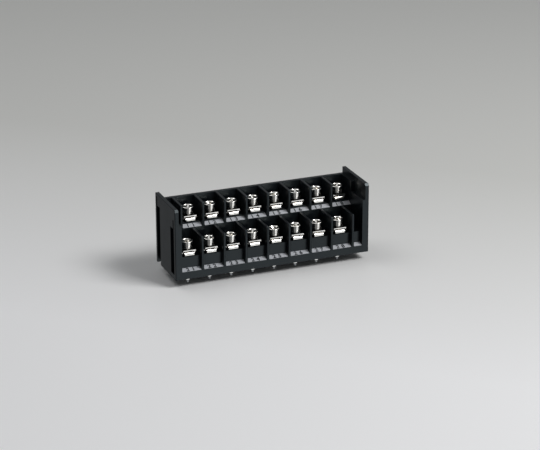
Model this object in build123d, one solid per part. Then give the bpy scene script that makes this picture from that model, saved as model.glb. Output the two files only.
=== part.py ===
from build123d import *
import os

# Two-tier barrier terminal strip for a circuit board, eight poles in each tier.
# Millimetres. X runs along the row, Y from the front to the rear, Z up from the board.
# The origin is the middle of the housing's underside, which sits on the board.

# Row of poles; the upper tier stands half a pitch to the right of the lower one
poles = 8
pitch = 9.5
barrier = 1.1

# Housing from the front to the rear: the room behind each tier's terminals, and the rear wall
lower_back_gap = 2.6
upper_back_gap = 1.15
rear_wall = 1.75

# Housing heights above the board
base_strip = 3.1
bevel_depth = 2.3
bevel_rise = 1.0
lower_deck = 8.75
tier_rise = 10.2
upper_lip = 0.55
barrier_rise = 8.55

# End walls: a thin upright plate outside a thicker wall
end_wall = 2.85
end_plate = 1.65
plate_height = 30.1
wall_step = 23.2
corner_cut = 0.9

# Coupling grooves in the outer faces of the end walls
groove_depth = 1.9
groove_width = 4.0
relief_width = 1.0
relief_depth = 0.8
front_flange = 1.6
rear_flange = 1.4
front_groove_foot = 1.9
front_groove_top = 21.7
front_relief_top = 25.5
rear_groove_top = 25.2
rear_relief_top = 29.2

# Edges of the moulding
front_round = 0.3
top_round = 0.2
plate_round = 0.3

# Pockets that core the housing from below
core_wall = 1.5
core_roof = 2.0
core_web = 2.6
core_round = 0.5

# Pressed terminals
strip = 0.8
plate_lift = 0.8
plate_front = 2.5
plate_front_margin = 0.2
plate_rear_margin = 0.4
plate_side_margin = 0.1
bend_radius = 0.55
lip_width_top = 4.8
lip_width_foot = 4.0
leg_width = 2.6
foot_height = 1.6
pin_width = 1.4
pin_tip_width = 0.7
pin_taper = 0.9
pin_length = 3.55
rest_width = 0.9
rest_length = 3.6
rest_inset = 0.1

# Terminal slots in the housing
slot_clearance = 0.2
tip_pocket_radius = 1.95
tip_pocket_gap = 0.8

# Screws
shank_radius = 1.45
thread_clearance = 0.06
shank_length = 7.0
tip_chamfer = 0.45
head_radius = 2.6
head_height = 1.85
head_round = 0.75
recess_length = 3.1
recess_foot = 1.1
recess_depth = 1.25
recess_width = 0.8
recess_turn = 37.0

# Square washer with its two side edges bent down, and the spring washer on it
washer_side = 6.0
washer_thick = 0.8
washer_arch = 0.3
washer_bend = 0.7
washer_corner = 0.6
spring_radius = 2.45
spring_bore = 1.6
spring_thick = 0.72
spring_height = 1.2
spring_gap = 14.0
seat_gap = 0.03

# How far a rib sinks into what carries it, and how far a cut runs past a face
sink = 0.5
past = 1.0

# Derived sizes of a terminal's plate, which carries the square washer
plate_width = washer_side + 2 * plate_side_margin
plate_length = plate_front_margin + washer_side + plate_rear_margin
axis_depth = plate_front + plate_front_margin + washer_side / 2
leg_rear = plate_front + plate_length
tier_depth = leg_rear + lower_back_gap
depth = tier_depth + leg_rear + upper_back_gap + rear_wall

# Derived places along the row
half_run = (poles + 0.5) * pitch / 2
half_clear = half_run - barrier / 2
half_length = half_clear + end_wall

# Derived places from the front to the rear, and up
front = -depth / 2
rear = depth / 2
riser = front + tier_depth
back = rear - rear_wall
upper_deck = lower_deck + tier_rise
upper_bevel_top = upper_deck - upper_lip
upper_bevel_foot = upper_bevel_top - bevel_rise
lower_barrier_top = lower_deck + barrier_rise
upper_barrier_top = upper_deck + barrier_rise
plate_rise = plate_lift + strip
washer_rise = plate_rise + washer_arch + washer_thick
head_rise = washer_rise + spring_height + 2 * seat_gap

# Each tier: its front plane, its deck and its first pole
tiers = {
    "lower": (front, lower_deck, -half_run + pitch / 2),
    "upper": (riser, upper_deck, -half_run + pitch),
}


def side_prism(points, low, high):
    """A prism along X from an outline of (y, z) points."""
    outline = make_face(Polyline(*points, close=True))
    return extrude(Plane.YZ.offset(low) * outline, high - low)


def block(x, y, z):
    """A box from (low, high) pairs along X, Y and Z."""
    size = Box(x[1] - x[0], y[1] - y[0], z[1] - z[0], align=(Align.MIN, Align.MIN, Align.MIN))
    return Pos(x[0], y[0], z[0]) * size


def stepped_body():
    """The solid steps that carry both tiers, with the marking bevels and the rear wall."""
    outline = [
        (front, 0),
        (front, base_strip),
        (front + bevel_depth, base_strip + bevel_rise),
        (front + bevel_depth, lower_deck),
        (riser, lower_deck),
        (riser, upper_bevel_foot),
        (riser + bevel_depth, upper_bevel_top),
        (riser + bevel_depth, upper_deck),
        (back, upper_deck),
        (back, upper_barrier_top),
        (rear, upper_barrier_top),
        (rear, 0),
    ]
    return side_prism(outline, -half_clear, half_clear)


def barrier_wall(x, near, far, top):
    """One barrier, with its front and top edges rounded."""
    wall = block((x - barrier / 2, x + barrier / 2), (near, far), (0, top))
    wall = fillet(wall.edges().filter_by(Axis.Z).group_by(Axis.Y)[0], front_round)
    rim = wall.faces().sort_by(Axis.Z)[-1].edges()
    return fillet(rim - rim.group_by(Axis.Y)[-1], top_round)


def barriers():
    """The barriers between the compartments; each tier's outermost ones merge in the end walls."""
    walls = []
    for k in range(poles):
        walls.append(barrier_wall(-half_run + (k + 1) * pitch, front, riser + sink, lower_barrier_top))
        walls.append(barrier_wall(-half_run + (k + 0.5) * pitch, riser, back + sink, upper_barrier_top))
    return walls


def groove(near, far, foot, top, reach):
    """A vertical groove in the right-hand outer face."""
    return block((half_length - reach, half_length + past), (near, far), (foot, top))


def right_end():
    """The right-hand end wall: a thick wall up to the tiers' tops, and the plate outside it."""
    wall_outline = [
        (front, 0),
        (front, wall_step),
        (riser, wall_step),
        (riser, upper_barrier_top),
        (rear, upper_barrier_top),
        (rear, 0),
    ]
    wall = side_prism(wall_outline, half_clear, half_length - end_plate / 2)
    plate_outline = [
        (front, 0),
        (front, plate_height - corner_cut),
        (front + corner_cut, plate_height),
        (rear, plate_height),
        (rear, 0),
    ]
    plate = side_prism(plate_outline, half_length - end_plate, half_length)
    outer = plate.faces().sort_by(Axis.X)[-1].edges()
    plate = fillet(outer - outer.group_by(Axis.Z)[0], plate_round)
    near = front + front_flange
    far = rear - rear_flange
    cuts = [
        groove(near, near + groove_width, front_groove_foot, front_groove_top, groove_depth),
        groove(near, near + relief_width, front_groove_foot, front_relief_top, relief_depth),
        groove(far - groove_width, far, -past, rear_groove_top, groove_depth),
        groove(far - relief_width, far, -past, rear_relief_top, relief_depth),
    ]
    return wall + plate - cuts


def core_pocket(x, near, far, top):
    """One coring pocket from below, between two terminal slots."""
    half = (pitch - leg_width) / 2 - slot_clearance - core_wall
    pocket = block((x - half, x + half), (near, far), (-past, top))
    return fillet(pocket.edges().filter_by(Axis.Z), core_round)


def core_pockets():
    """The coring pockets under both tiers."""
    pockets = []
    for k in range(1, poles):
        x = -half_run + k * pitch
        lower_near = front + bevel_depth + core_wall
        pockets.append(core_pocket(x, lower_near, riser, lower_deck - core_roof))
        pockets.append(core_pocket(x + pitch / 2, riser + core_web, back, upper_deck - core_roof))
    return pockets


def terminal_cut(x, tier_front, deck):
    """The slot that a terminal drops through, and the pocket for its screw's tip."""
    axis = tier_front + axis_depth
    half = leg_width / 2 + slot_clearance
    near = axis - strip / 2 - slot_clearance
    far = tier_front + leg_rear + slot_clearance
    slot = block((x - half, x + half), (near, far), (-past, deck + past))
    floor = deck + head_rise - shank_length - tip_pocket_gap
    pocket = extrude(Pos(x, axis, floor) * Circle(tip_pocket_radius), deck + past - floor)
    return [slot, pocket]


def plate_rests(x, tier_front, deck):
    """Two ribs on the deck that the terminal's plate lies on, clear of its front corners."""
    ribs = []
    rib_rear = tier_front + leg_rear - strip
    for side in (-1, 1):
        middle = x + side * (plate_width / 2 - rest_inset - rest_width / 2)
        span = (middle - rest_width / 2, middle + rest_width / 2)
        ribs.append(block(span, (rib_rear - rest_length, rib_rear), (deck - sink, deck + plate_lift)))
    return ribs


def make_housing():
    """The one-piece moulded housing."""
    right = right_end()
    solid = stepped_body() + barriers() + [right, mirror(right, Plane.YZ)]
    cuts = core_pockets()
    rests = []
    for tier_front, deck, first in tiers.values():
        for k in range(poles):
            x = first + k * pitch
            cuts += terminal_cut(x, tier_front, deck)
            rests += plate_rests(x, tier_front, deck)
    return solid - cuts + rests


def strip_profile(deck):
    """The terminal's strip from the side: lip, plate, rear leg, foot and pin, as (y, z) from its axis."""
    lip = plate_front + strip / 2 - axis_depth
    leg = leg_rear - strip / 2 - axis_depth
    top = deck + plate_lift + strip / 2
    foot = foot_height + strip / 2
    stations = [(lip, deck), (lip, top), (leg, top), (leg, foot), (0, foot), (0, -pin_length)]
    return trace(FilletPolyline(*stations, radius=bend_radius), strip)


def pressed_band(profile, width, low, high):
    """The part of the bent strip inside a (y, z) window, at its own width."""
    band = extrude(Plane.YZ.offset(-width / 2) * profile, width)
    return band & block((-width, width), (low[0], high[0]), (low[1], high[1]))


def front_mask(outline):
    """A deep prism along Y from an outline of (x, z) points, to shape a band seen from the front."""
    return extrude(Plane.XZ.offset(-depth) * make_face(Polyline(*outline, close=True)), 2 * depth)


def make_terminal(x, tier_front, deck):
    """One pressed terminal: tapped plate, front lip, rear leg, foot and solder pin."""
    profile = strip_profile(deck)
    lip = plate_front - axis_depth
    leg = leg_rear - axis_depth
    lip_cut = lip + strip + bend_radius
    leg_cut = leg - strip - bend_radius
    plate_foot = deck + plate_lift
    roof = deck + 2 * plate_rise
    foot_roof = foot_height + 2 * strip
    taper_top = pin_taper - pin_length
    lip_outline = [
        (-lip_width_foot / 2, deck),
        (lip_width_foot / 2, deck),
        (lip_width_top / 2, plate_foot),
        (lip_width_top / 2, roof),
        (-lip_width_top / 2, roof),
        (-lip_width_top / 2, plate_foot),
    ]
    pin_outline = [
        (-pin_width / 2, foot_roof),
        (pin_width / 2, foot_roof),
        (pin_width / 2, taper_top),
        (pin_tip_width / 2, -pin_length),
        (-pin_tip_width / 2, -pin_length),
        (-pin_width / 2, taper_top),
    ]
    plate = pressed_band(profile, plate_width, (lip_cut, deck), (leg_cut, roof))
    lip_band = pressed_band(profile, plate_width, (lip - past, deck), (lip_cut, roof))
    rear_leg = pressed_band(profile, leg_width, (leg_cut, 0), (leg + past, roof))
    foot = pressed_band(profile, leg_width, (strip, 0), (leg_cut, foot_roof))
    pin = pressed_band(profile, leg_width, (-past, -pin_length), (bend_radius + strip, foot_roof))
    body = plate + (lip_band & front_mask(lip_outline)) + rear_leg + foot + (pin & front_mask(pin_outline))
    bore = Pos(0, 0, plate_foot + strip / 2) * Cylinder(shank_radius + thread_clearance, 2 * strip)
    return Pos(x, tier_front + axis_depth, 0) * (body - bore)


def make_square_washer():
    """The square washer, arched over the plate on its two bent side edges, with its foot at zero."""
    half = washer_side / 2
    top = washer_arch + washer_thick
    outline = [
        (-half, 0),
        (-half, top),
        (half, top),
        (half, 0),
        (half - washer_bend, 0),
        (half - washer_bend - washer_arch, washer_arch),
        (-half + washer_bend + washer_arch, washer_arch),
        (-half + washer_bend, 0),
    ]
    body = extrude(Plane.XZ.offset(-half) * make_face(Polyline(*outline, close=True)), washer_side)
    body = fillet(body.edges().filter_by(Axis.Y).group_by(Axis.Z)[-1], washer_thick / 2)
    corners = extrude(RectangleRounded(washer_side, washer_side, washer_corner), top)
    hole = Cylinder(spring_bore, 3 * top)
    return (body & corners) - hole


def make_spring_washer():
    """The split spring washer: one turn of square wire that climbs by its free height."""
    mean = (spring_radius + spring_bore) / 2
    rise = spring_height - spring_thick
    share = (360 - spring_gap) / 360
    path = Helix(pitch=rise / share, height=rise, radius=mean)
    wire = Plane.XZ * Rectangle(spring_radius - spring_bore, spring_thick)
    section = Pos(mean, 0, 0) * wire
    return Pos(0, 0, spring_thick / 2) * sweep(section, path, is_frenet=True)


def make_washers(x, tier_front, deck):
    """Both washers of one screw, over its terminal plate."""
    place = Pos(x, tier_front + axis_depth, deck + plate_rise)
    spring_foot = washer_arch + washer_thick + seat_gap
    return place * Compound([make_square_washer(), Pos(0, 0, spring_foot) * make_spring_washer()])


def make_screw(x, tier_front, deck, turn):
    """One pan head screw with a cross recess; its thread is the plain shank."""
    head = extrude(Circle(head_radius), head_height)
    head = fillet(head.edges().group_by(Axis.Z)[-1], head_round)
    blade_outline = [
        (-recess_length / 2, head_height),
        (recess_length / 2, head_height),
        (recess_foot / 2, head_height - recess_depth),
        (-recess_foot / 2, head_height - recess_depth),
    ]
    blade_face = make_face(Polyline(*blade_outline, close=True))
    blade = extrude(Plane.XZ.offset(-recess_width / 2) * blade_face, recess_width)
    shank = extrude(Circle(shank_radius), -shank_length)
    shank = chamfer(shank.edges().group_by(Axis.Z)[0], tip_chamfer)
    body = head + shank - blade - Rot(0, 0, 90) * blade
    return Pos(x, tier_front + axis_depth, deck + head_rise) * Rot(0, 0, turn) * body


os.makedirs("parts", exist_ok=True)
export_step(make_housing(), "parts/housing.step")
turn = 0.0
for tier, (tier_front, deck, first) in tiers.items():
    for k in range(poles):
        x = first + k * pitch
        name = f"{tier}_{k + 1}"
        turn += recess_turn
        export_step(make_terminal(x, tier_front, deck), f"parts/terminal_{name}.step")
        export_step(make_washers(x, tier_front, deck), f"parts/washers_{name}.step")
        export_step(make_screw(x, tier_front, deck, turn), f"parts/screw_{name}.step")
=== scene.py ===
import math
import bmesh
import bpy
from mathutils import Matrix, Vector


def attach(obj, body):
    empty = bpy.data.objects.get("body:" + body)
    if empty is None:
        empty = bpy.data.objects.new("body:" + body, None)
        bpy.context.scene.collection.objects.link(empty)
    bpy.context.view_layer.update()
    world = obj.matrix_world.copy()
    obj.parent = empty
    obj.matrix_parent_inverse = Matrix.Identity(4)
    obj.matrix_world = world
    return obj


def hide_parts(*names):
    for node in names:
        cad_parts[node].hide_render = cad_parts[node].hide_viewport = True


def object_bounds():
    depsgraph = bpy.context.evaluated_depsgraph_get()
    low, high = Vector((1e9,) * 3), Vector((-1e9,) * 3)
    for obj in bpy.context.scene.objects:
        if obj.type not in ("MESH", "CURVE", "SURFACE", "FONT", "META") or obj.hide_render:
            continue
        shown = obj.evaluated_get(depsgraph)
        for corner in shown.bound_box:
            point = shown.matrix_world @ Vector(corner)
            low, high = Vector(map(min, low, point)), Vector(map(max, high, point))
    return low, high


# Barrier terminal strip with two tiers of eight poles, standing on its solder pins.
# Metres, in the part's own frame: X along the row, Y from front to rear, Z up.

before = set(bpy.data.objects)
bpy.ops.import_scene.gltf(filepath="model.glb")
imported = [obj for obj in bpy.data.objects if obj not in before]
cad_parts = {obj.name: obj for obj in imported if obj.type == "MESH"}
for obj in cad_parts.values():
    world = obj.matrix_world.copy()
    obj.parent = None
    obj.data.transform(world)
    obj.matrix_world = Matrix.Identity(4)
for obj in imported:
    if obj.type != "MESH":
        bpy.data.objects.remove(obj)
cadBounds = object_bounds()
mm = 0.001
print("frame loaded:", len(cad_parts), "nodes")


# Objects, colours and nodes
def newObject(name, data):
    thing = bpy.data.objects.new(name, data)
    bpy.context.collection.objects.link(thing)
    return thing


def bakedMesh(thing, **options):
    # the mesh that an object has after its modifiers
    graph = bpy.context.evaluated_depsgraph_get()
    return bpy.data.meshes.new_from_object(thing.evaluated_get(graph), depsgraph=graph, **options)


def linear(hexColour):
    # sRGB hex to linear RGBA
    channels = [int(hexColour[i:i + 2], 16) / 255 for i in (1, 3, 5)]
    light = [c / 12.92 if c <= 0.04045 else ((c + 0.055) / 1.055) ** 2.4 for c in channels]
    return (*light, 1.0)


def direction(azimuth, elevation):
    # a unit vector from angles in degrees; azimuth 0 is straight out of the front
    turn, rise = math.radians(azimuth), math.radians(elevation)
    level = math.cos(rise)
    return Vector((math.sin(turn) * level, -math.cos(turn) * level, math.sin(rise)))


def fill(tree, socket, value):
    # links a socket, or sets a plain value
    if isinstance(value, bpy.types.NodeSocket):
        tree.links.new(value, socket)
    else:
        socket.default_value = value


def addNode(tree, kind, settings=None, **values):
    # settings are the node's properties, values its inputs by name with _ for a space
    node = tree.nodes.new(kind)
    for key, value in (settings or {}).items():
        setattr(node, key, value)
    for key, value in values.items():
        name = key.replace("_", " ")
        fill(tree, next(s for s in node.inputs if s.name == name and s.enabled), value)
    return node


def addMath(tree, operation, *values):
    node = addNode(tree, "ShaderNodeMath", {"operation": operation})
    for socket, value in zip(node.inputs, values):
        fill(tree, socket, value)
    return node.outputs[0]


def mixColour(tree, factor, first, second):
    # a Mix node keeps its colours in inputs 6 and 7 and in output 2
    node = addNode(tree, "ShaderNodeMix", {"data_type": "RGBA"}, Factor=factor)
    fill(tree, node.inputs[6], first)
    fill(tree, node.inputs[7], second)
    return node.outputs[2]


def mixNumber(tree, factor, first, second):
    # and its numbers in inputs 2 and 3
    node = addNode(tree, "ShaderNodeMix", {"data_type": "FLOAT"}, Factor=factor)
    fill(tree, node.inputs[2], first)
    fill(tree, node.inputs[3], second)
    return node.outputs[0]


def mapRange(tree, value, low, high, fromLow=0.0, fromHigh=1.0, shape="LINEAR"):
    node = addNode(tree, "ShaderNodeMapRange", {"interpolation_type": shape}, Value=value,
                   From_Min=fromLow, From_Max=fromHigh, To_Min=low, To_Max=high)
    return node.outputs[0]


def addNoise(tree, place, size, detail):
    noise = addNode(tree, "ShaderNodeTexNoise", Vector=place, Scale=1 / size, Detail=detail)
    return noise.outputs["Fac"]


bumpStrength = 0.5


def addBump(tree, height, distance):
    bump = addNode(tree, "ShaderNodeBump", Height=height, Strength=bumpStrength, Distance=distance)
    return bump.outputs[0]


def newMaterial(name):
    # an empty material, with its tree, Object coordinates and surface socket
    material = bpy.data.materials.new(name)
    material.use_nodes = True
    tree = material.node_tree
    tree.nodes.clear()
    place = addNode(tree, "ShaderNodeTexCoord").outputs["Object"]
    surface = addNode(tree, "ShaderNodeOutputMaterial").inputs["Surface"]
    return material, tree, place, surface


# Moulded plastic: glass-filled polyester, black, with the fine spark-eroded grain of the mould
mouldedPolyester = {
    "colour": "#090c0f",
    "dustColour": "#0d1115",
    "roughness": 0.3,
    "roughnessSpread": 0.05,
    "ior": 1.5,
    "glossTint": "#e3f0f4",
    "grain": 0.12 * mm,
    "grainDetail": 2.0,
    "grainBump": 0.006 * mm,
    "flow": 6.0 * mm,
    "flowDetail": 3.0,
}


def makePolyester():
    m = mouldedPolyester
    material, tree, place, surface = newMaterial("mouldedPolyester")
    grain = addNoise(tree, place, m["grain"], m["grainDetail"])
    flow = addNoise(tree, place, m["flow"], m["flowDetail"])
    tone = mixColour(tree, flow, linear(m["colour"]), linear(m["dustColour"]))
    spread = m["roughnessSpread"]
    gloss = mapRange(tree, flow, m["roughness"] - spread, m["roughness"] + spread)
    bump = addBump(tree, grain, m["grainBump"])
    shader = addNode(tree, "ShaderNodeBsdfPrincipled", Base_Color=tone, Roughness=gloss,
                     IOR=m["ior"], Specular_Tint=linear(m["glossTint"]), Normal=bump)
    tree.links.new(shader.outputs[0], surface)
    return material


# Nickel plate: a warm white metal, bright where it was pressed smooth, with faint drawing marks;
# pins that were dipped turn dull with solder towards their tips
nickelPlate = {
    "colour": "#eceae6",
    "shadeColour": "#d8d4ce",
    "roughnessSpread": 0.03,
    "cloud": 1.4 * mm,
    "cloudDetail": 4.0,
    "mark": 0.08 * mm,
    "markDetail": 2.0,
    "markBump": 0.0015 * mm,
    "dipStart": -2.45 * mm,
    "dipFull": -2.65 * mm,
    "solderColour": "#848687",
    "solderRoughness": 0.32,
}


def makeNickel(name, roughness, squeeze, dipped=False):
    # squeeze scales the marks' coordinates, so below 1 they run longer along that axis
    m = nickelPlate
    material, tree, place, surface = newMaterial(name)
    cloud = addNoise(tree, place, m["cloud"], m["cloudDetail"])
    along = addNode(tree, "ShaderNodeMapping", Vector=place, Scale=squeeze)
    mark = addNoise(tree, along.outputs[0], m["mark"], m["markDetail"])
    colour = mixColour(tree, cloud, linear(m["colour"]), linear(m["shadeColour"]))
    spread = m["roughnessSpread"]
    rough = mapRange(tree, cloud, roughness - spread, roughness + spread)
    if dipped:
        height = addNode(tree, "ShaderNodeSeparateXYZ", Vector=place).outputs["Z"]
        bare = mapRange(tree, height, 0.0, 1.0, m["dipFull"], m["dipStart"])
        colour = mixColour(tree, bare, linear(m["solderColour"]), colour)
        rough = mixNumber(tree, bare, m["solderRoughness"], rough)
    bump = addBump(tree, mark, m["markBump"])
    shader = addNode(tree, "ShaderNodeBsdfPrincipled", Base_Color=colour, Roughness=rough,
                     Metallic=1.0, Normal=bump)
    tree.links.new(shader.outputs[0], surface)
    return material


# Marking ink and painted sheen: a light grey field over each bevel, partly printed marking and
# partly painted sheen that stands in for the bevel's reflection of the overhead light, a little
# uneven where the pad lifted
inkAndPaintedSheen = {
    "colour": "#cacdd2",
    "thinColour": "#97999e",
    "roughness": 0.55,
    "mottle": 0.35 * mm,
    "mottleDetail": 4.0,
    "bump": 0.004 * mm,
}


def makeInkAndSheen():
    m = inkAndPaintedSheen
    material, tree, place, surface = newMaterial("greyFieldInkAndSheen")
    mottle = addNoise(tree, place, m["mottle"], m["mottleDetail"])
    # the light grey is partly printed ink and partly painted sheen, standing in for the bevel's
    # reflection of the overhead light
    tone = mixColour(tree, mottle, linear(m["thinColour"]), linear(m["colour"]))
    bump = addBump(tree, mottle, m["bump"])
    shader = addNode(tree, "ShaderNodeBsdfPrincipled", Base_Color=tone, Roughness=m["roughness"],
                     Normal=bump)
    tree.links.new(shader.outputs[0], surface)
    return material


housingPlastic = makePolyester()
terminalNickel = makeNickel("nickelPressedStrip", roughness=0.12, squeeze=(1.0, 1.0, 0.15),
                            dipped=True)
washerNickel = makeNickel("nickelPressedWasher", roughness=0.1, squeeze=(0.3, 1.0, 1.0))
screwNickel = makeNickel("nickelHeadedScrew", roughness=0.1, squeeze=(1.0, 1.0, 0.3))
fieldInkAndSheen = makeInkAndSheen()
print("materials made")

finishes = {
    "housing": housingPlastic,
    "terminal": terminalNickel,
    "washers": washerNickel,
    "screw": screwNickel,
}
for name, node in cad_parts.items():
    finish = finishes[name.split("_")[0]]
    for i in range(len(node.data.materials)):
        node.material_slots[i].link = "OBJECT"
        node.material_slots[i].material = finish
print("materials given to the", len(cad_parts), "nodes")

# The row as the housing has it
row = {
    "poles": 8,
    "pitch": 9.5 * mm,
    "barrier": 1.1 * mm,
    "halfRun": 40.375 * mm,
    "halfClear": 39.825 * mm,
}
poles = [(tier, k) for tier in ("lower", "upper") for k in range(row["poles"])]

# The sloping bevels, and the fields and numbers on them
bevel = {
    "depth": 2.3 * mm,
    "rise": 1.0 * mm,
    "front": {"lower": -11.85 * mm, "upper": -0.15 * mm},
    "foot": {"lower": 3.1 * mm, "upper": 17.4 * mm},
}
printed = {
    "inkThick": 0.03 * mm,
    "edge": 0.12 * mm,
    "cornerRound": 0.15 * mm,
    "cornerSteps": 4,
    "weld": 0.001 * mm,
    "letterHeight": 1.85 * mm,
    "letterPart": 0.7,  # a digit's height as a part of the font size
    "letterThick": 0.09 * mm,
    "letterSpacing": 1.8,
    "letterShift": -0.5 * mm,
    "letterBold": 0.09 * mm,
    "letterSteps": 4,
    "firstNumber": {"lower": 21, "upper": 11},
}


def makeFieldTree():
    # Geometry Nodes: thin light grey fields, printed marking and painted sheen, at even steps along
    # the row
    tree = bpy.data.node_groups.new("inkAndSheenFields", "GeometryNodeTree")
    face = tree.interface
    face.new_socket("Geometry", in_out="OUTPUT", socket_type="NodeSocketGeometry")
    face.new_socket("Count", in_out="INPUT", socket_type="NodeSocketInt")
    for name in ("Pitch", "Width", "Length", "Thickness", "Corner"):
        face.new_socket(name, in_out="INPUT", socket_type="NodeSocketFloat")
    face.new_socket("Material", in_out="INPUT", socket_type="NodeSocketMaterial")
    given = addNode(tree, "NodeGroupInput").outputs
    step = addNode(tree, "ShaderNodeCombineXYZ", X=given["Pitch"])
    points = addNode(tree, "GeometryNodeMeshLine", {"mode": "OFFSET"},
                     Count=given["Count"], Offset=step.outputs[0])
    outline = addNode(tree, "GeometryNodeCurvePrimitiveQuadrilateral",
                      Width=given["Width"], Height=given["Length"])
    rounded = addNode(tree, "GeometryNodeFilletCurve", {"mode": "POLY"}, Curve=outline.outputs[0],
                      Radius=given["Corner"], Count=printed["cornerSteps"])
    filled = addNode(tree, "GeometryNodeFillCurve", {"mode": "NGONS"}, Curve=rounded.outputs[0])
    thick = addNode(tree, "GeometryNodeExtrudeMesh", Mesh=filled.outputs[0],
                    Offset_Scale=given["Thickness"])
    base = addNode(tree, "GeometryNodeFlipFaces", Mesh=filled.outputs[0])
    closed = addNode(tree, "GeometryNodeJoinGeometry")
    tree.links.new(thick.outputs[0], closed.inputs[0])
    tree.links.new(base.outputs[0], closed.inputs[0])
    merged = addNode(tree, "GeometryNodeMergeByDistance", Geometry=closed.outputs[0],
                     Distance=printed["weld"])
    placed = addNode(tree, "GeometryNodeInstanceOnPoints", Points=points.outputs[0],
                     Instance=merged.outputs[0])
    real = addNode(tree, "GeometryNodeRealizeInstances", Geometry=placed.outputs[0])
    painted = addNode(tree, "GeometryNodeSetMaterial", Geometry=real.outputs[0],
                      Material=given["Material"])
    addNode(tree, "NodeGroupOutput", Geometry=painted.outputs[0])
    return tree


def bakeTree(name, tree, values, place):
    # runs a Geometry Nodes tree once and keeps its result as a plain mesh, moved to its place
    carrier = newObject(name + "Carrier", bpy.data.meshes.new(name + "Carrier"))
    modifier = carrier.modifiers.new("nodes", "NODES")
    modifier.node_group = tree
    for item in tree.interface.items_tree:
        if item.in_out == "INPUT":
            modifier[item.identifier] = values[item.name]
    mesh = bakedMesh(carrier, preserve_all_data_layers=True)
    bpy.data.objects.remove(carrier)
    mesh.name = name
    mesh.transform(place)
    return newObject(name, mesh)


def bevelPlace(tier, x):
    # the frame of a bevel's middle: its local Z leaves the sloping face
    y = bevel["front"][tier] + bevel["depth"] / 2
    z = bevel["foot"][tier] + bevel["rise"] / 2
    slope = math.atan2(bevel["rise"], bevel["depth"])
    return Matrix.Translation((x, y, z)) @ Matrix.Rotation(slope, 4, "X")


def firstPole(tier):
    # the upper tier stands half a pitch to the right
    offset = 0.5 if tier == "lower" else 1.0
    return offset * row["pitch"] - row["halfRun"]


def makeInkAndSheenFields():
    # eight full fields on each tier, and a short one over its spare half compartment, which has no
    # print and is painted sheen only
    tree = makeFieldTree()
    clear = row["pitch"] - row["barrier"]
    spare = row["pitch"] / 2 - row["barrier"]
    spareMiddle = row["halfClear"] - spare / 2
    common = {
        "Pitch": row["pitch"],
        "Length": math.hypot(bevel["depth"], bevel["rise"]) - 2 * printed["edge"],
        "Thickness": printed["inkThick"],
        "Corner": printed["cornerRound"],
        "Material": fieldInkAndSheen,
    }
    full = dict(common, Count=row["poles"], Width=clear - 2 * printed["edge"])
    short = dict(common, Count=1, Width=spare - 2 * printed["edge"])
    for tier, side in (("lower", 1), ("upper", -1)):
        fields = (
            ("field_" + tier, full, firstPole(tier)),
            ("fieldSpare_" + tier, short, side * spareMiddle),
        )
        for name, values, x in fields:
            piece = bakeTree(name, tree, values, bevelPlace(tier, x))
            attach(piece, "block")


def numberMesh(body):
    # the number's middle is at the origin and its back is at zero height
    curve = bpy.data.curves.new("number", "FONT")
    curve.body = body
    curve.size = printed["letterHeight"] / printed["letterPart"]
    curve.space_character = printed["letterSpacing"]
    curve.align_x = "CENTER"
    curve.align_y = "CENTER"
    curve.extrude = printed["letterThick"] / 2
    curve.offset = printed["letterBold"]
    curve.resolution_u = printed["letterSteps"]
    text = newObject("number", curve)
    mesh = bakedMesh(text)
    bpy.data.objects.remove(text)
    xs = [v.co.x for v in mesh.vertices]
    ys = [v.co.y for v in mesh.vertices]
    middle = Vector(((min(xs) + max(xs)) / 2, (min(ys) + max(ys)) / 2, -printed["letterThick"] / 2))
    mesh.transform(Matrix.Translation(-middle))
    return mesh


def makeNumbers():
    # moulded numbers stand a little proud of the grey fields of ink and painted sheen
    for tier, k in poles:
        mesh = numberMesh(str(printed["firstNumber"][tier] + k))
        x = firstPole(tier) + k * row["pitch"] + printed["letterShift"]
        mesh.transform(bevelPlace(tier, x))
        mesh.materials.clear()
        mesh.materials.append(housingPlastic)
        piece = newObject(f"number_{tier}_{k + 1}", mesh)
        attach(piece, "block")


makeInkAndSheenFields()
makeNumbers()
print("printed fields and numbers made")


# Meshes made from outlines
def meshFrom(name, vertices, faces):
    # a closed mesh with its normals outward
    mesh = bpy.data.meshes.new(name)
    mesh.from_pydata(vertices, [], faces)
    work = bmesh.new()
    work.from_mesh(mesh)
    bmesh.ops.recalc_face_normals(work, faces=work.faces)
    work.to_mesh(mesh)
    work.free()
    return mesh


def loft(name, rings):
    # joins rings of points into a solid with flat ends
    n = len(rings[0])
    vertices = [p for ring in rings for p in ring]
    last = len(vertices) - n
    faces = []
    for a in range(0, last, n):
        faces += [(a + j, a + (j + 1) % n, a + n + (j + 1) % n, a + n + j) for j in range(n)]
    faces += [tuple(range(n)), tuple(range(last, last + n))]
    return meshFrom(name, vertices, faces)


def around(angle, section):
    # a section of (radius, height) points, turned about Z
    return [(r * math.cos(angle), r * math.sin(angle), z) for r, z in section]


def turned(name, profile, sides):
    # profile: radius and height pairs from the foot to the top
    angles = [2 * math.pi * k / sides for k in range(sides)]
    return loft(name, [[(r * math.cos(a), r * math.sin(a), z) for a in angles] for r, z in profile])


def quarterArc(centre, radius, steps):
    angles = [math.pi / 2 * k / steps for k in range(steps + 1)]
    return [(centre[0] + radius * math.cos(a), centre[1] + radius * math.sin(a)) for a in angles]


def taperedBox(name, low, high, lowZ, highZ):
    # low and high are the half sizes at the two heights
    return loft(name, [[(-x, -y, z), (x, -y, z), (x, y, z), (-x, y, z)]
                       for (x, y), z in ((low, lowZ), (high, highZ))])


def boxBetween(low, high):
    size = (Vector(high) - Vector(low)) / 2
    block = taperedBox("cutterBlock", size.xy, size.xy, -size.z, size.z)
    block.transform(Matrix.Translation((Vector(high) + Vector(low)) / 2))
    return block


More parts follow.
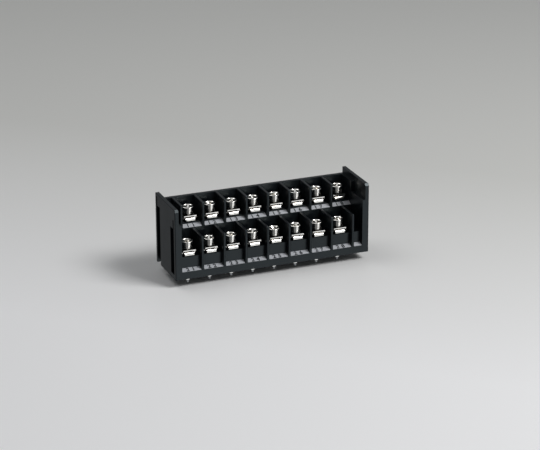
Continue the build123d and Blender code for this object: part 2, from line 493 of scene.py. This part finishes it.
def cutFrom(mesh, cutters):
    # takes the cutter meshes out of the mesh, and returns the result as a new mesh
    carrier = newObject("cutCarrier", mesh)
    tools = [newObject("cutter", cutter) for cutter in cutters]
    for tool in tools:
        modifier = carrier.modifiers.new("cut", "BOOLEAN")
        modifier.operation = "DIFFERENCE"
        modifier.solver = "EXACT"
        modifier.object = tool
    result = bakedMesh(carrier)
    for thing in [carrier] + tools:
        bpy.data.objects.remove(thing)
    return result


sharpAngle = math.radians(32)


def smooth(mesh):
    mesh.polygons.foreach_set("use_smooth", [True] * len(mesh.polygons))
    mesh.set_sharp_from_angle(angle=sharpAngle)
    return mesh


def nodeBox(name):
    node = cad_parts[name]
    points = [node.matrix_world @ v.co for v in node.data.vertices]
    low = Vector([min(p[i] for p in points) for i in range(3)])
    high = Vector([max(p[i] for p in points) for i in range(3)])
    return low, high


def addPiece(name, mesh, place, material, body):
    own = mesh.copy()
    own.transform(place)
    own.materials.clear()
    own.materials.append(material)
    own.polygons.foreach_set("material_index", [0] * len(own.polygons))
    piece = newObject(name, own)
    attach(piece, body)
    return piece


# Pan-head screws, with a thin bright rim, a tapered cross recess and a rolled thread
screwShape = {
    "headRadius": 2.6 * mm,
    "headHeight": 1.85 * mm,
    "flank": 0.04 * mm,
    "rim": 0.25 * mm,
    "rimSteps": 6,
    "ring": 0.16 * mm,
    "dish": 0.2 * mm,
    "dishSlope": 0.2 * mm,
    "dishMiddle": 0.05 * mm,
    "footRound": 0.12 * mm,
    "coreRadius": 1.24 * mm,
    "crestRadius": 1.48 * mm,
    "threadPitch": 0.5 * mm,
    "threadSunk": 0.04 * mm,
    "threadHalf": 0.42,  # half the ridge's foot, in pitches
    "threadSteps": 24,
    "tip": 0.45 * mm,
    "recessLength": 3.3 * mm,
    "recessFoot": 1.0 * mm,
    "recessWidth": 0.85 * mm,
    "recessFootWidth": 0.45 * mm,
    "recessDepth": 1.25 * mm,
    "recessGrow": 1.4,  # the cutter goes on past the top by this
    "turn": 37.0,
    "sides": 64,
}


def screwMesh(length):
    # origin on the axis at the head's seat
    c = screwShape
    core, head, top = c["coreRadius"], c["headRadius"], c["headHeight"]
    rimMiddle = head - c["flank"] - c["rim"]
    inner, floor = rimMiddle - c["ring"], top - c["dish"]
    profile = [(core - c["tip"], -length), (core, c["tip"] - length), (core, 0)]
    profile += [(head - c["footRound"], 0), (head, c["footRound"])]
    profile += quarterArc((rimMiddle, top - c["rim"]), c["rim"], c["rimSteps"])
    profile += [(inner, top), (inner - c["dishSlope"], floor), (c["dishMiddle"], floor)]
    low = (c["recessFoot"] / 2, c["recessFootWidth"] / 2)
    high = (c["recessLength"] / 2, c["recessWidth"] / 2)
    wide = [a + (b - a) * c["recessGrow"] for a, b in zip(low, high)]
    foot = top - c["recessDepth"]
    arms = []
    for turn in (0, math.pi / 2):
        arm = taperedBox("recess", low, wide, foot, foot + c["recessDepth"] * c["recessGrow"])
        arm.transform(Matrix.Rotation(turn, 4, "Z"))
        arms.append(arm)
    return smooth(cutFrom(turned("screw", profile, c["sides"]), arms))


def threadMesh(length):
    # a helical ridge with a triangular section, sunk into the core
    c = screwShape
    pitch, steps = c["threadPitch"], c["threadSteps"]
    turns = (length - c["tip"] - pitch) / pitch
    inner, half = c["coreRadius"] - c["threadSunk"], c["threadHalf"] * pitch
    rings = []
    for k in range(round(turns * steps) + 1):
        z = c["tip"] - length + pitch * (0.5 + k / steps)
        section = ((inner, z - half), (c["crestRadius"], z), (inner, z + half))
        rings.append(around(2 * math.pi * k / steps, section))
    return loft("thread", rings)


# Square washer pressed from sheet, its side edges bent down, and the spring washer on it
washerShape = {
    "side": 6.0 * mm,
    "height": 0.92 * mm,
    "sheet": 0.36 * mm,
    "bend": 0.46 * mm,
    "bendSteps": 6,
    "bendThin": 0.8,  # the bent edge's thickness, in sheets
    "insideChamfer": 0.25 * mm,
    "corner": 0.6 * mm,
    "cornerReach": 0.42,  # how far out the corner cutter's middle is, in its half sizes
    "hole": 1.55 * mm,
    "holeSides": 48,
    "cutterFoot": -1.0 * mm,
    "cutterTop": 2.0 * mm,
    "springRadius": 2.35 * mm,
    "springBore": 1.6 * mm,
    "springThick": 0.85 * mm,
    "springStart": -46.0,
    "springTurn": 346.0,
    "springSteps": 60,
    "springPlay": 0.02 * mm,
    "stackPlay": 0.06 * mm,
}


def washerMesh():
    # origin on the axis at the foot of the bent edges
    c = washerShape
    half, top = c["side"] / 2, c["height"]
    ceiling, side = top - c["sheet"], half - c["bendThin"] * c["sheet"]
    chamfer = c["insideChamfer"]
    bend = c["bend"]
    outside = [(half, 0)] + quarterArc((half - bend, top - bend), bend, c["bendSteps"])
    inside = [(side - chamfer, ceiling), (side, ceiling - chamfer), (side, 0)]
    section = outside + [(-x, z) for x, z in reversed(outside)]
    section += [(-x, z) for x, z in reversed(inside)] + inside
    sheet = loft("washer", [[(x, y, z) for x, z in section] for y in (-half, half)])
    foot, roof = c["cutterFoot"], c["cutterTop"]
    cutters = [turned("hole", [(c["hole"], foot), (c["hole"], roof)], c["holeSides"])]
    size = (c["corner"], c["corner"])
    reach = half + c["cornerReach"] * c["corner"]
    for x, y in ((-reach, -reach), (-reach, reach), (reach, -reach), (reach, reach)):
        corner = taperedBox("corner", size, size, foot, roof)
        corner.transform(Matrix.Translation((x, y, 0)) @ Matrix.Rotation(math.pi / 4, 4, "Z"))
        cutters.append(corner)
    return smooth(cutFrom(sheet, cutters))


def springMesh(height):
    # the split ring, rising along its turn
    c = washerShape
    bore, radius, thick = c["springBore"], c["springRadius"], c["springThick"]
    rings = []
    for k in range(c["springSteps"] + 1):
        part = k / c["springSteps"]
        low = (height - thick) * part
        section = ((bore, low), (radius, low), (radius, low + thick), (bore, low + thick))
        rings.append(around(math.radians(c["springStart"] + part * c["springTurn"]), section))
    return smooth(loft("spring", rings))


def makeFasteners():
    # one mesh of each, measured on the first pole and placed on all
    headHeight, plateHeight = screwShape["headHeight"], washerShape["height"]
    low, high = nodeBox("screw_lower_1")
    washerFoot = nodeBox("washers_lower_1")[0].z
    length = high.z - low.z - headHeight
    screw, thread, washer = screwMesh(length), threadMesh(length), washerMesh()
    spring = springMesh(high.z - headHeight - washerFoot - plateHeight - washerShape["stackPlay"])
    for order, (tier, k) in enumerate(poles, start=1):
        name = f"{tier}_{k + 1}"
        low, high = nodeBox("screw_" + name)
        washerFoot = nodeBox("washers_" + name)[0].z
        axis = (low + high) / 2
        turn = Matrix.Rotation(math.radians(screwShape["turn"] * order), 4, "Z")
        seat = Matrix.Translation((axis.x, axis.y, high.z - headHeight)) @ turn
        foot = Matrix.Translation((axis.x, axis.y, washerFoot))
        onWasher = foot @ Matrix.Translation((0, 0, plateHeight + washerShape["springPlay"]))
        body = "screw_" + name
        head = addPiece("screwHead_" + name, screw, seat, screwNickel, body)
        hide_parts("screw_" + name)
        addPiece("thread_" + name, thread, seat, screwNickel, body)
        body = "washers_" + name
        plate = addPiece("squareWasher_" + name, washer, foot, washerNickel, body)
        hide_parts("washers_" + name)
        addPiece("springWasher_" + name, spring, onWasher, washerNickel, body)


# Pressed terminals: the plate narrows to a short lip in front, and each pin steps down to a stem
terminalShape = {
    "cornerInside": 2.0 * mm,
    "cornerDepth": 1.7 * mm,
    "lipHeight": 1.25 * mm,
    "stemHalf": 0.33 * mm,
    "stemTop": -2.55 * mm,
    "cutterReach": 30 * mm,
    "weld": 0.0001 * mm,
}


def terminalMesh(name):
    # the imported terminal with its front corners, its lip's foot and its pin's sides cut away
    c = terminalShape
    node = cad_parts[name]
    mesh = node.data.copy()
    mesh.transform(node.matrix_world)
    work = bmesh.new()
    work.from_mesh(mesh)
    bmesh.ops.remove_doubles(work, verts=work.verts, dist=c["weld"])
    work.to_mesh(mesh)
    work.free()
    low, high = nodeBox(name)
    axis = (low.x + high.x) / 2
    far = c["cutterReach"]
    front, lipBack, lipFoot = low.y - far, low.y + c["cornerDepth"], high.z - c["lipHeight"]
    cutters = [boxBetween((low.x - far, front, 0), (high.x + far, lipBack, lipFoot))]
    for side in (-1, 1):
        left, right = sorted((axis + side * c["cornerInside"], axis + side * far / 2))
        cutters.append(boxBetween((left, front, 0), (right, lipBack, far)))
        left, right = sorted((axis + side * c["stemHalf"], axis + side * far / 2))
        cutters.append(boxBetween((left, front, low.z - far), (right, high.y + far, c["stemTop"])))
    return smooth(cutFrom(mesh, cutters))


def makeTerminals():
    shapes = {tier: terminalMesh(f"terminal_{tier}_1") for tier in ("lower", "upper")}
    for tier, k in poles:
        name = f"terminal_{tier}_{k + 1}"
        place = Matrix.Translation((k * row["pitch"], 0, 0))
        piece = addPiece(f"pressedTerminal_{tier}_{k + 1}", shapes[tier], place, terminalNickel,
                         "block")
        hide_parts(name)


makeFasteners()
makeTerminals()
print("screws, washers and terminals made")

# Studio: a pale table with painted light falloff, its colour darker towards the rear right, a dim
# room, and bright cards round the room that only the glossy surfaces see; angles in degrees
studio = {
    "floorSize": 4.0,
    "nearPaintedLightColour": "#f1f1f2",
    "farPaintedShadeColour": "#d5d5d2",
    "paintedShadeStart": -110 * mm,
    "paintedShadeEnd": 190 * mm,
    "slant": 0.9,  # how far the painted light falloff leans to the right
    "floorRoughness": 0.4,
    "roomColour": "#dfe2e4",
    "roomStrength": 0.17,
    "seen": 0.25,  # what the metal mirrors between the cards
    "cards": (
        {"azimuth": 18.0, "elevation": -18.0, "reach": 15.0, "soft": 5.0, "strength": 1.15},
        {"azimuth": 18.0, "elevation": 22.0, "reach": 10.0, "soft": 5.0, "strength": 0.9},
        {"azimuth": 0.0, "elevation": 90.0, "reach": 52.0, "soft": 8.0, "strength": 0.7},
    ),
}


def makeFloor():
    low, half = cadBounds[0].z, studio["floorSize"] / 2
    mesh = bpy.data.meshes.new("studioFloor")
    corners = [(-half, -half, low), (half, -half, low), (half, half, low), (-half, half, low)]
    mesh.from_pydata(corners, [], [(0, 1, 2, 3)])
    floor = newObject("studioFloor", mesh)
    material, tree, place, surface = newMaterial("paleTable")
    across = addNode(tree, "ShaderNodeSeparateXYZ", Vector=place).outputs
    # painted light falloff: the table's colour is lighter near the front and darker towards the
    # rear right
    slanted = addMath(tree, "MULTIPLY_ADD", across["X"], studio["slant"], across["Y"])
    paintedLightFalloff = mapRange(tree, slanted, 0.0, 1.0, studio["paintedShadeStart"], studio["paintedShadeEnd"])
    tone = mixColour(tree, paintedLightFalloff, linear(studio["nearPaintedLightColour"]), linear(studio["farPaintedShadeColour"]))
    table = addNode(tree, "ShaderNodeBsdfPrincipled", Base_Color=tone,
                    Roughness=studio["floorRoughness"])
    # the metal mirrors the cards below the horizon and not the table
    path = addNode(tree, "ShaderNodeLightPath")
    clear = addNode(tree, "ShaderNodeBsdfTransparent")
    both = addNode(tree, "ShaderNodeMixShader")
    parts = (path.outputs["Is Glossy Ray"], table.outputs[0], clear.outputs[0])
    for socket, part in zip(both.inputs, parts):
        tree.links.new(part, socket)
    tree.links.new(both.outputs[0], surface)
    mesh.materials.append(material)


def makeWorld():
    world = bpy.data.worlds.new("studioRoom")
    bpy.context.scene.world = world
    world.use_nodes = True
    tree = world.node_tree
    tree.nodes.clear()
    toward = addNode(tree, "ShaderNodeTexCoord").outputs["Generated"]
    seen = studio["seen"]
    for card in studio["cards"]:
        near = addNode(tree, "ShaderNodeVectorMath", {"operation": "DOT_PRODUCT"})
        fill(tree, near.inputs[0], toward)
        fill(tree, near.inputs[1], direction(card["azimuth"], card["elevation"]))
        outer = math.cos(math.radians(card["reach"] + card["soft"]))
        inner = math.cos(math.radians(card["reach"] - card["soft"]))
        lit = mapRange(tree, near.outputs["Value"], 0.0, card["strength"], outer, inner,
                       "SMOOTHSTEP")
        seen = addMath(tree, "ADD", lit, seen)
    path = addNode(tree, "ShaderNodeLightPath")
    strength = mixNumber(tree, path.outputs["Is Glossy Ray"], studio["roomStrength"], seen)
    room = addNode(tree, "ShaderNodeBackground", Color=linear(studio["roomColour"]),
                   Strength=strength)
    addNode(tree, "ShaderNodeOutputWorld", Surface=room.outputs[0])


# Softboxes aimed at the part's middle, in metres and watts
lamps = {
    "keySoftbox": {"place": (0.40, -0.46, 0.70), "size": (0.40, 0.40), "power": 6.0},
    "overheadSoftbox": {"place": (-0.35, 0.30, 0.80), "size": (0.6, 0.5), "power": 1.7},
}


def addLamp(name, place, size, power):
    data = bpy.data.lights.new(name, "AREA")
    data.shape = "RECTANGLE"
    data.size, data.size_y = size
    data.energy = power
    lamp = newObject(name, data)
    lamp.location = Vector(place)
    lamp.rotation_euler = (-Vector(place)).to_track_quat("-Z", "Y").to_euler()


makeFloor()
makeWorld()
for name, lamp in lamps.items():
    addLamp(name, **lamp)
print("studio made")

# Camera at the photograph's viewing angle, aimed one row below the image's middle
camera = {
    "azimuth": -21.96,
    "elevation": 20.94,
    "roll": -0.165,
    "distance": 893.3 * mm,
    "aim": (2.1 * mm, -2.7 * mm, 14.0 * mm),
    "lens": 144.2,
    "sensor": 36.0,
    "clip": (0.05, 20.0),
    "centreRow": 226.0,
    "imageSize": (540, 450),
}


def makeCamera():
    columns, rows = camera["imageSize"]
    data = bpy.data.cameras.new("photoCamera")
    data.lens = camera["lens"]
    data.sensor_width = camera["sensor"]
    data.shift_y = (camera["centreRow"] - rows / 2) / columns
    data.clip_start, data.clip_end = camera["clip"]
    turn = math.radians(camera["azimuth"])
    back = direction(camera["azimuth"], camera["elevation"])
    right = Vector((math.cos(turn), math.sin(turn), 0))
    roll = Matrix.Rotation(math.radians(camera["roll"]), 3, "Z")
    axes = Matrix((right, back.cross(right), back)).transposed() @ roll
    eye = Vector(camera["aim"]) + back * camera["distance"]
    thing = newObject("photoCamera", data)
    thing.matrix_world = Matrix.Translation(eye) @ axes.to_4x4()
    bpy.context.scene.camera = thing


makeCamera()
bpy.context.scene.view_settings.view_transform = "Standard"
print("camera made")
